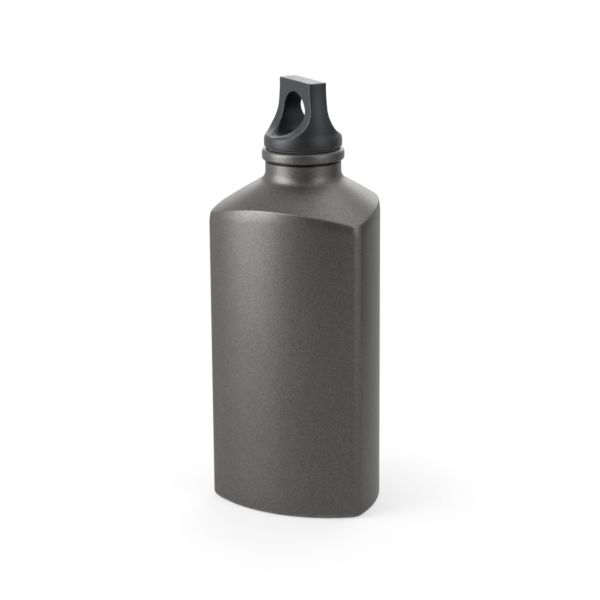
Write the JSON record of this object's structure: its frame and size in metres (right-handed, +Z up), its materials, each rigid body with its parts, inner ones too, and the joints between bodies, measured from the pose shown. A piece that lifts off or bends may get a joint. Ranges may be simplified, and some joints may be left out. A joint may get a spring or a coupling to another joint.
{
  "type": "water bottle",
  "caption": "Three-sided aluminium drinking bottle with a sloping shoulder, a round neck with a rolled lip and a screw cap with a finger loop.",
  "frame": {"origin": "on the ground, in the middle of the bottle's footprint", "axes": "+Z up along the neck; +X to one corner of the three-sided body; the closed cap's loop stands along X, 4.5 degrees off, where the screw stops it"},
  "size_m": [0.0794, 0.0784, 0.2],
  "materials": {
    "coated_aluminium": "satin speckled gunmetal powder coat",
    "ring_plastic": "moulded, natural",
    "cap_plastic": "moulded, fine satin, black",
    "plug_plastic": "moulded, black",
    "seal_silicone": "soft matt silicone, black"
  },
  "bodies": {
    "bottle": {"bottle_shell": "coated_aluminium", "thread_ring": "ring_plastic"},
    "seal": {"seal_ring": "seal_silicone"},
    "cap": {"cap_body": "cap_plastic", "cap_plug": "plug_plastic"}
  },
  "joints": [
    {"name": "cap_lift", "type": "slide", "parent": "bottle", "child": "seal", "axis": [0, 0, 1], "range_m": [0, 0.012]},
    {"name": "cap_turn", "type": "hinge", "parent": "seal", "child": "cap", "pos_m": [-0.0042, 0, 0.1709], "axis": [0, 0, 1], "range_deg": [0, 1080]}
  ],
  "couplings": [
    {"joint": "cap_lift", "follows": "cap_turn", "m_per_rad": 0.00063662}
  ]
}
